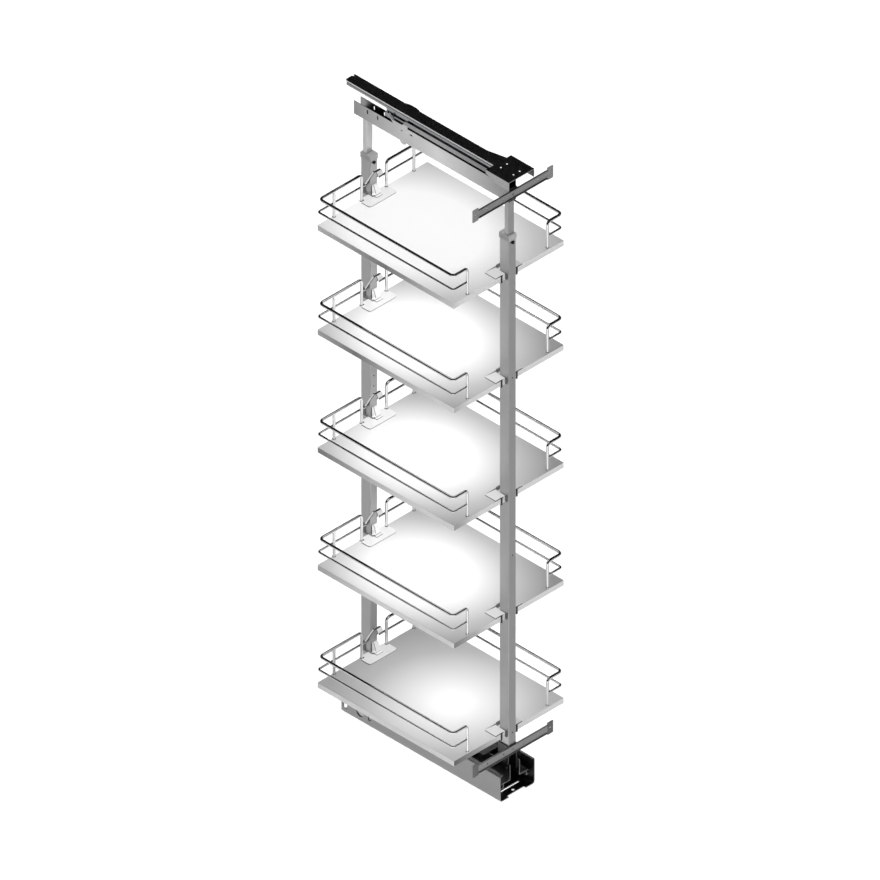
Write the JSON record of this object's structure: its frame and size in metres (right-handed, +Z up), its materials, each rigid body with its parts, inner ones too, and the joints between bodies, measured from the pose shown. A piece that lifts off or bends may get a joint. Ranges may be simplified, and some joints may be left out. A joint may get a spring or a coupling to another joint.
{
  "type": "pull out larder unit",
  "caption": "Tall pull-out larder unit: wire-railed trays on a telescopic post frame that slides from a floor housing under a top guide rail.",
  "frame": {"origin": "middle of the floor housing's underside, on the cabinet floor", "axes": "+Z up, -Y towards the front that the unit is pulled out to, +X across the width"},
  "size_m": [0.3776, 0.587, 1.8352],
  "materials": {
    "grey_steel": "satin grey coating",
    "zinc_steel": "bright zinc",
    "black_steel": "satin black coating",
    "white_board": "smooth white coating",
    "chrome_wire": "polished",
    "bright_steel": "polished",
    "white_steel": "satin white coating",
    "grey_plastic": "moulded"
  },
  "bodies": {
    "base": {"base_housing": "grey_steel", "fixed_track_left": "zinc_steel", "fixed_track_right": "zinc_steel"},
    "frame": {"carriage_left": "grey_steel", "carriage_right": "grey_steel", "carriage_plate": "grey_steel", "front_post_foot": "grey_steel", "front_outer_post": "grey_steel", "front_post_collar": "grey_plastic", "front_clamp_screw": "black_steel", "rear_post_foot": "grey_steel", "rear_outer_post": "grey_steel", "rear_post_collar": "grey_plastic", "rear_clamp_screw": "black_steel", "lower_front_bar": "grey_steel"},
    "middle_rails": {"middle_rail_left": "zinc_steel", "middle_rail_right": "zinc_steel"},
    "outer_cages": {"outer_ball_cage_left": "zinc_steel", "outer_ball_cage_right": "zinc_steel"},
    "inner_cages": {"inner_ball_cage_left": "zinc_steel", "inner_ball_cage_right": "zinc_steel"},
    "upper_frame": {"front_inner_post": "grey_steel", "rear_inner_post": "grey_steel", "upper_channel": "grey_steel", "upper_front_bar": "grey_steel"},
    "top_rail_set": {"top_rail": "black_steel", "top_track": "zinc_steel"},
    "top_slider": {"top_slider": "zinc_steel"},
    "tray1": {"tray1_board": "white_board", "tray1_rail_left": "chrome_wire", "tray1_rail_right": "chrome_wire", "tray1_front_bracket": "white_steel", "tray1_rear_bracket": "white_steel"},
    "lever1": {"tray1_latch_lever": "bright_steel"},
    "tray2": {"tray2_board": "white_board", "tray2_rail_left": "chrome_wire", "tray2_rail_right": "chrome_wire", "tray2_front_bracket": "white_steel", "tray2_rear_bracket": "white_steel"},
    "lever2": {"tray2_latch_lever": "bright_steel"},
    "tray3": {"tray3_board": "white_board", "tray3_rail_left": "chrome_wire", "tray3_rail_right": "chrome_wire", "tray3_front_bracket": "white_steel", "tray3_rear_bracket": "white_steel"},
    "lever3": {"tray3_latch_lever": "bright_steel"},
    "tray4": {"tray4_board": "white_board", "tray4_rail_left": "chrome_wire", "tray4_rail_right": "chrome_wire", "tray4_front_bracket": "white_steel", "tray4_rear_bracket": "white_steel"},
    "lever4": {"tray4_latch_lever": "bright_steel"},
    "tray5": {"tray5_board": "white_board", "tray5_rail_left": "chrome_wire", "tray5_rail_right": "chrome_wire", "tray5_front_bracket": "white_steel", "tray5_rear_bracket": "white_steel"},
    "lever5": {"tray5_latch_lever": "bright_steel"}
  },
  "joints": [
    {"name": "pull_out", "type": "slide", "parent": "base", "child": "frame", "axis": [0, -1, 0], "range_m": [0, 0.48]},
    {"name": "middle_rail_slide", "type": "slide", "parent": "base", "child": "middle_rails", "axis": [0, -1, 0], "range_m": [0, 0.24]},
    {"name": "outer_cage_slide", "type": "slide", "parent": "base", "child": "outer_cages", "axis": [0, -1, 0], "range_m": [0, 0.12]},
    {"name": "inner_cage_slide", "type": "slide", "parent": "base", "child": "inner_cages", "axis": [0, -1, 0], "range_m": [0, 0.36]},
    {"name": "height_adjust", "type": "slide", "parent": "frame", "child": "upper_frame", "axis": [0, 0, 1], "range_m": [-0.03, 0.2]},
    {"name": "top_rail_height", "type": "slide", "parent": "base", "child": "top_rail_set", "axis": [0, 0, 1], "range_m": [-0.03, 0.2]},
    {"name": "top_slider_slide", "type": "slide", "parent": "top_rail_set", "child": "top_slider", "axis": [0, -1, 0], "range_m": [0, 0.24]},
    {"name": "tray1_height", "type": "slide", "parent": "frame", "child": "tray1", "axis": [0, 0, 1], "range_m": [0, 0.096]},
    {"name": "tray2_height", "type": "slide", "parent": "frame", "child": "tray2", "axis": [0, 0, 1], "range_m": [-0.096, 0.096]},
    {"name": "tray3_height", "type": "slide", "parent": "frame", "child": "tray3", "axis": [0, 0, 1], "range_m": [-0.096, 0.096]},
    {"name": "tray4_height", "type": "slide", "parent": "frame", "child": "tray4", "axis": [0, 0, 1], "range_m": [-0.096, 0.096]},
    {"name": "tray5_height", "type": "slide", "parent": "frame", "child": "tray5", "axis": [0, 0, 1], "range_m": [-0.064, 0.06]},
    {"name": "latch1_swing", "type": "hinge", "parent": "tray1", "child": "lever1", "pos_m": [-0.0158, 0.241, 0.195], "axis": [1, 0, 0], "range_deg": [0, 45]},
    {"name": "latch2_swing", "type": "hinge", "parent": "tray2", "child": "lever2", "pos_m": [-0.0158, 0.241, 0.5434], "axis": [1, 0, 0], "range_deg": [0, 45]},
    {"name": "latch3_swing", "type": "hinge", "parent": "tray3", "child": "lever3", "pos_m": [-0.0158, 0.241, 0.8918], "axis": [1, 0, 0], "range_deg": [0, 45]},
    {"name": "latch4_swing", "type": "hinge", "parent": "tray4", "child": "lever4", "pos_m": [-0.0158, 0.241, 1.2402], "axis": [1, 0, 0], "range_deg": [0, 45]},
    {"name": "latch5_swing", "type": "hinge", "parent": "tray5", "child": "lever5", "pos_m": [-0.0158, 0.241, 1.5493], "axis": [1, 0, 0], "range_deg": [0, 45]}
  ],
  "couplings": [
    {"joint": "middle_rail_slide", "follows": "pull_out", "ratio": 0.5},
    {"joint": "outer_cage_slide", "follows": "pull_out", "ratio": 0.25},
    {"joint": "inner_cage_slide", "follows": "pull_out", "ratio": 0.75},
    {"joint": "top_slider_slide", "follows": "pull_out", "ratio": 0.5},
    {"joint": "top_rail_height", "follows": "height_adjust", "ratio": 1}
  ]
}
